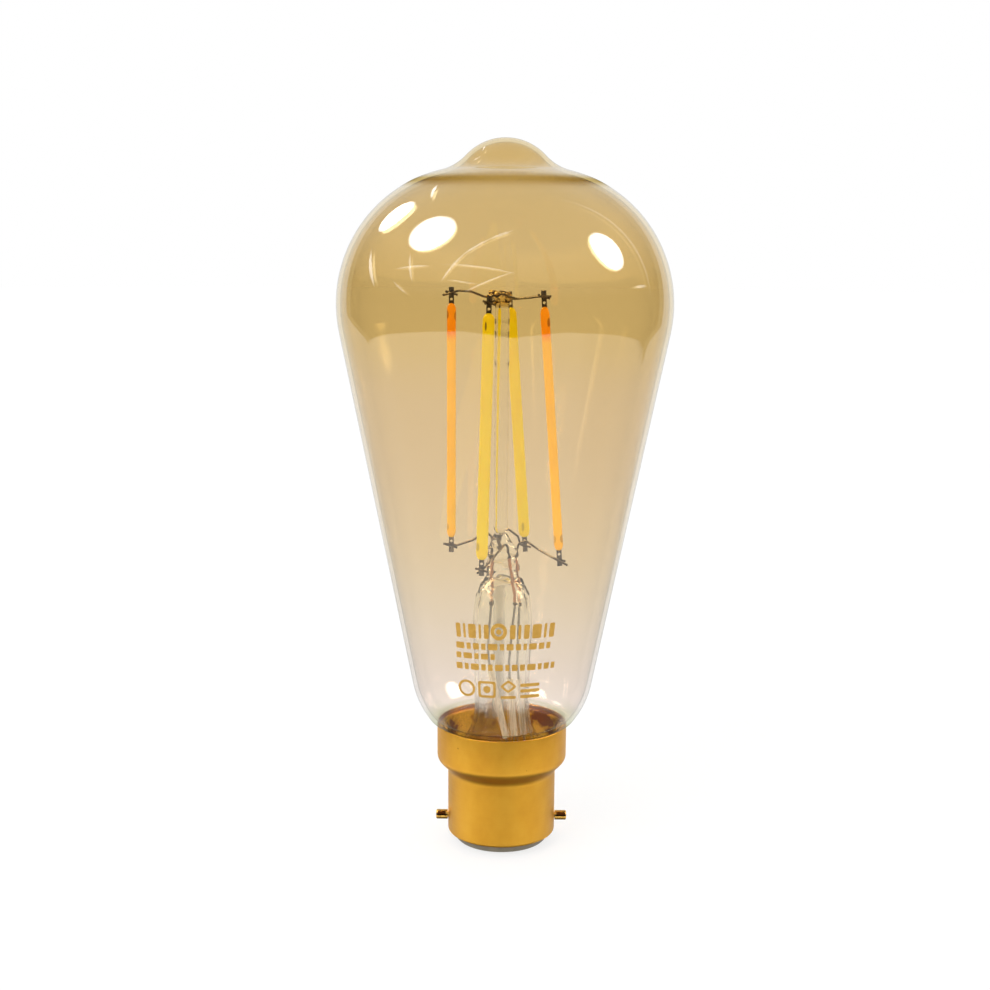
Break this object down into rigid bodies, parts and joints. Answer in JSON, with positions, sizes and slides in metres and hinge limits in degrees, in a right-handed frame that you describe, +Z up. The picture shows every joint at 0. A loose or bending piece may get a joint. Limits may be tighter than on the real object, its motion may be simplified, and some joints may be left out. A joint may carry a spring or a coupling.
{
  "type": "smart light bulb",
  "caption": "Tall tapered amber glass filament bulb with a drawn tip, warm and cool light strips on a glass stem, and a brass bayonet cap that holds its radio driver.",
  "frame": {"origin": "centre of the cap's base, on the plane that the two solder contacts touch", "axes": "+Z up the bulb's axis from the contacts to the glass tip, +X through the bayonet pins, -Y to the front where the print is"},
  "size_m": [0.065, 0.065, 0.1408],
  "materials": {
    "envelope_glass": "clear blown glass with an amber tint, stronger on the head",
    "stem_glass": "clear glass",
    "warm_phosphor": "orange phosphor in silicone, satin",
    "cool_phosphor": "yellow phosphor in silicone, satin",
    "tab_metal": "nickel-plated strip",
    "nickel_wire": "drawn nickel wire",
    "copper_wire": "copper-clad seal wire",
    "lead_wire": "tinned wire",
    "lead_sleeve": "translucent white sleeve",
    "cap_brass": "satin, lacquered",
    "pin_brass": "bright",
    "base_insulator": "grey moulded insulation",
    "contact_solder": "tin solder, domed",
    "neck_cement": "golden brown baked cement",
    "insulating_cup": "amber polyimide film",
    "supply_wire": "red insulation",
    "circuit_board": "green solder mask",
    "radio_board": "black solder mask",
    "radio_shield": "tinned steel can",
    "antenna_gold": "gilt copper track",
    "chip_black": "moulded epoxy",
    "ferrite": "sintered ferrite",
    "coil_wire": "enamelled copper wire",
    "fuse_body": "green coated resistor",
    "capacitor_can": "dark shrink sleeve",
    "film_capacitor": "brown dipped case"
  },
  "bodies": {
    "root": {"base_insulator": "base_insulator", "bayonet_pin_left": "pin_brass", "bayonet_pin_right": "pin_brass", "bridge_rectifier": "chip_black", "bridge_wire_cool": "nickel_wire", "bridge_wire_warm": "nickel_wire", "bulk_capacitor": "capacitor_can", "cap_shell": "cap_brass", "coil_bobbin": "ferrite", "coil_winding": "coil_wire", "contact_front": "contact_solder", "contact_rear": "contact_solder", "cross_pins": "nickel_wire", "driver_board": "circuit_board", "driver_chip": "chip_black", "exhaust_tube": "stem_glass", "filament_cool_front": "cool_phosphor", "filament_cool_rear": "cool_phosphor", "filament_warm_left": "warm_phosphor", "filament_warm_right": "warm_phosphor", "film_capacitor": "film_capacitor", "foot_tab_cool_front": "tab_metal", "foot_tab_cool_rear": "tab_metal", "foot_tab_warm_left": "tab_metal", "foot_tab_warm_right": "tab_metal", "fuse_resistor": "fuse_body", "glass_envelope": "envelope_glass", "hook_wire_front": "nickel_wire", "hook_wire_left": "nickel_wire", "hook_wire_rear": "nickel_wire", "hook_wire_right": "nickel_wire", "insulating_cup": "insulating_cup", "lead_sleeve_common": "lead_sleeve", "lead_sleeve_cool": "lead_sleeve", "lead_sleeve_warm": "lead_sleeve", "neck_cement": "neck_cement", "outer_lead_common": "lead_wire", "outer_lead_cool": "lead_wire", "outer_lead_warm": "lead_wire", "radio_antenna": "antenna_gold", "radio_board": "radio_board", "radio_shield": "radio_shield", "seal_wire_common": "copper_wire", "seal_wire_cool": "copper_wire", "seal_wire_warm": "copper_wire", "stem_flare": "stem_glass", "supply_wire_front": "supply_wire", "supply_wire_rear": "supply_wire", "support_rod": "stem_glass", "top_tab_cool_front": "tab_metal", "top_tab_cool_rear": "tab_metal", "top_tab_warm_left": "tab_metal", "top_tab_warm_right": "tab_metal", "weld_knots_common": "nickel_wire", "weld_knots_cool": "nickel_wire", "weld_knots_warm": "nickel_wire"}
  },
  "joints": []
}
